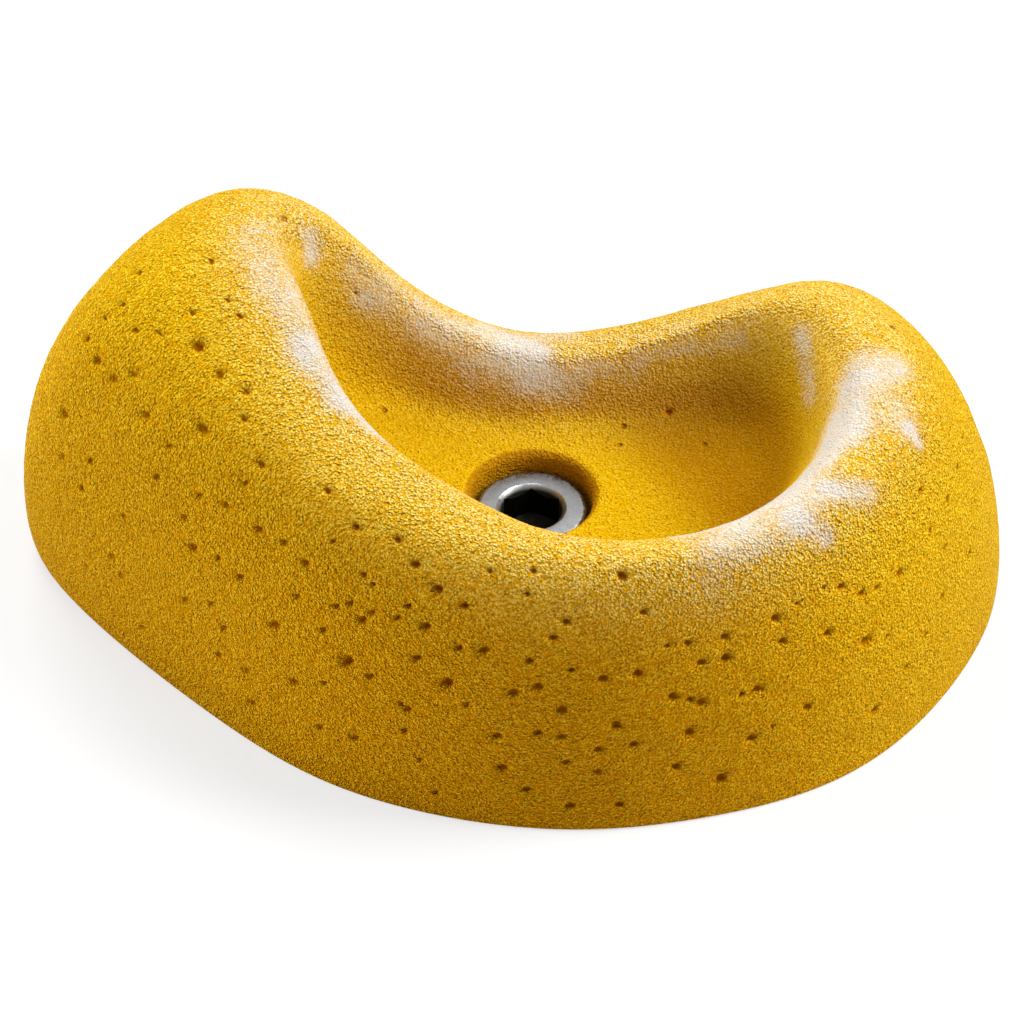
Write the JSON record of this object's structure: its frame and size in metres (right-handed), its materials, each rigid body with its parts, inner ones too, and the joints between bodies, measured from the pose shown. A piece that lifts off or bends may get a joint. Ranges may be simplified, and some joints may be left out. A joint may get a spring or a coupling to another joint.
{
  "type": "climbing hold",
  "caption": "Bowl-shaped climbing hold of cast resin with a raised lobe at one end, a moulded-in washer and a socket head fixing bolt in the floor of its finger pocket.",
  "frame": {"origin": "on the bolt's axis, in the flat back that lies against the climbing wall", "axes": "+Z out of the wall along the bolt's axis, +X along the hold from the tall lobe to the low one, -Y towards the wide front wall"},
  "size_m": [0.147, 0.0878, 0.084],
  "materials": {
    "cast_resin": "coarse sand-textured moulded resin, yellow through and through, with pinholes and worn-in chalk",
    "zinc_steel": "dull zinc plating",
    "stainless_steel": "satin turned steel with a bright rim, dark inside the socket"
  },
  "bodies": {
    "resin": {"hold_body": "cast_resin", "seat_washer": "zinc_steel"},
    "bolt": {"fixing_bolt": "stainless_steel"}
  },
  "joints": [
    {"name": "bolt_turn", "type": "hinge", "parent": "resin", "child": "bolt", "pos_m": [0, 0, 0.0143], "axis": [0, 0, 1], "continuous": true}
  ]
}
